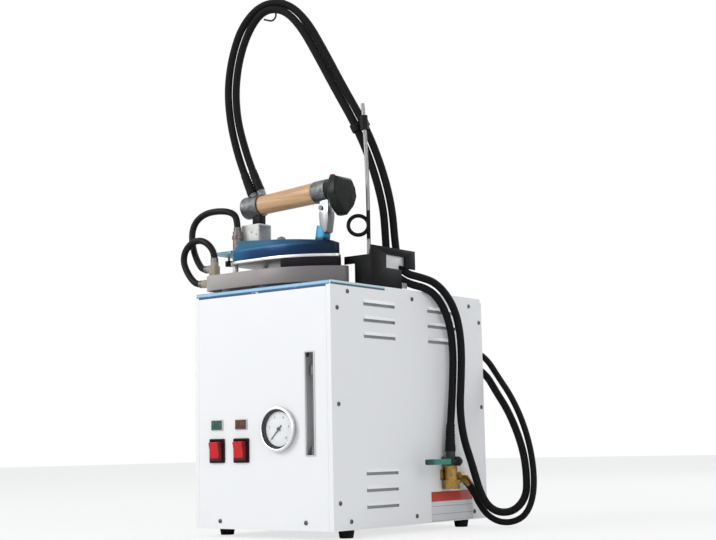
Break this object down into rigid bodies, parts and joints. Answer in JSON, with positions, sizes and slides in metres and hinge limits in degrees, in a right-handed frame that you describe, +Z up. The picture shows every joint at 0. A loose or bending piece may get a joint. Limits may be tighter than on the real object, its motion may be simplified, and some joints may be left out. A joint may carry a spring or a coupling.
{
  "type": "steam iron station",
  "caption": "White floor cabinet with a boiler, switches and a gauge, and a wooden-handled steam iron on a rest under a sprung hose mast.",
  "frame": {"origin": "floor level under the middle of the machine, cords left out", "axes": "+Z up, the switches and gauge face -Y, the iron points to +X"},
  "size_m": [0.4276, 0.4358, 0.8516],
  "materials": {
    "white_panel": "smooth white enamel",
    "side_grey": "light grey enamel",
    "lid_blue": "light blue enamel",
    "foot_rubber": "matt",
    "screw_steel": "zinc plated",
    "tank_steel": "welded stainless",
    "inner_steel": "plain",
    "inner_plastic": "moulded",
    "fitting_brass": "worn, machined",
    "fitting_nickel": "nickel plated",
    "cap_black": "moulded",
    "tube_glass": "clear",
    "trim_white": "satin",
    "gauge_chrome": "polished",
    "dial_white": "matt print",
    "needle_black": "matt",
    "switch_black": "moulded",
    "rocker_red": "gloss, translucent",
    "lamp_plastic": "gloss lens in a frame",
    "lever_green": "dipped sleeve on steel",
    "plate_orange": "printed plate",
    "gland_black": "moulded",
    "tray_grey": "warm grey enamel",
    "pad_black": "matt silicone",
    "elbow_beige": "moulded",
    "bracket_black": "smooth enamel",
    "plate_zinc": "galvanised",
    "socket_steel": "machined",
    "mast_steel": "spring steel",
    "clip_black": "moulded",
    "wire_steel": "bright wire",
    "sole_aluminium": "polished edge",
    "cover_blue": "dark blue, teal at the rear",
    "bracket_grey": "light enamel",
    "block_black": "moulded",
    "handle_wood": "turned and lacquered",
    "cap_grey": "moulded",
    "guard_black": "faceted moulding",
    "button_red": "gloss",
    "strap_steel": "folded strip",
    "inlet_grey": "matt",
    "hose_black": "braided cover",
    "cable_black": "smooth sheath",
    "tube_black": "smooth tube"
  },
  "bodies": {
    "cabinet": {"base_pan": "side_grey", "front_panel": "white_panel", "right_panel": "side_grey", "left_panel": "side_grey", "rear_panel": "side_grey", "top_cover": "lid_blue", "rubber_feet": "foot_rubber", "panel_screws": "screw_steel", "boiler_tank": "tank_steel", "boiler_stand": "inner_steel", "heating_element": "inner_steel", "pressure_switch": "inner_plastic", "safety_valve": "fitting_brass", "solenoid_valve": "fitting_brass", "filler_neck": "tank_steel", "sight_glass": "tube_glass", "glass_fittings": "fitting_brass", "window_trim": "trim_white", "gauge_case": "gauge_chrome", "gauge_dial": "dial_white", "gauge_lens": "tube_glass", "gauge_pipe": "fitting_brass", "left_switch_housing": "switch_black", "right_switch_housing": "switch_black", "pilot_lamps": "lamp_plastic", "ball_valve": "fitting_brass", "side_plate": "plate_orange", "cable_glands": "gland_black", "steam_outlet": "fitting_nickel", "rest_tray": "tray_grey", "rest_pads": "pad_black", "tube_fitting": "elbow_beige", "hose_bracket": "bracket_black", "clamp_plate": "plate_zinc", "mast_socket": "socket_steel", "mast_rod": "mast_steel", "mast_clip": "clip_black", "mast_wire": "wire_steel", "steam_hose": "hose_black", "iron_cable": "cable_black", "supply_hose": "hose_black", "iron_tube": "tube_black", "rest_tube": "tube_black"},
    "iron": {"sole_plate": "sole_aluminium", "sole_cover": "cover_blue", "rear_bracket": "bracket_grey", "handle_block": "block_black", "wooden_handle": "handle_wood", "rear_cap": "cap_grey", "front_ferrule": "cap_grey", "hand_guard": "guard_black", "front_bracket": "strap_steel", "tube_inlet": "inlet_grey", "iron_screws": "screw_steel"},
    "button": {"steam_button": "button_red"},
    "left_rocker": {"left_rocker": "rocker_red"},
    "right_rocker": {"right_rocker": "rocker_red"},
    "needle": {"gauge_needle": "needle_black"},
    "lever": {"valve_lever": "lever_green"},
    "cap": {"filler_cap": "cap_black"}
  },
  "joints": [
    {"name": "left_rocker_tip", "type": "hinge", "parent": "cabinet", "child": "left_rocker", "pos_m": [-0.09942, -0.2081, 0.1275], "axis": [-1, 0, 0], "range_deg": [0, 18]},
    {"name": "right_rocker_tip", "type": "hinge", "parent": "cabinet", "child": "right_rocker", "pos_m": [-0.05001, -0.2081, 0.1275], "axis": [-1, 0, 0], "range_deg": [0, 18]},
    {"name": "iron_lift", "type": "slide", "parent": "cabinet", "child": "iron", "axis": [0, 0, 1], "range_m": [0, 0.06], "deforming": ["steam_hose", "iron_cable", "iron_tube"]},
    {"name": "button_push", "type": "slide", "parent": "iron", "child": "button", "axis": [0, 0, -1], "range_m": [0, 0.003], "stiffness_N_per_m": 800, "springref_m": -0.001},
    {"name": "needle_turn", "type": "hinge", "parent": "cabinet", "child": "needle", "pos_m": [0.02545, -0.2075, 0.1574], "axis": [0, 1, 0], "range_deg": [0, 270]},
    {"name": "lever_turn", "type": "hinge", "parent": "cabinet", "child": "lever", "pos_m": [0.149, 0.067, 0.1045], "axis": [1, 0, 0], "range_deg": [0, 90]},
    {"name": "cap_turn", "type": "hinge", "parent": "cabinet", "child": "cap", "pos_m": [-0.045, 0.068, 0.375], "axis": [0, 0, 1], "range_deg": [0, 360]}
  ]
}
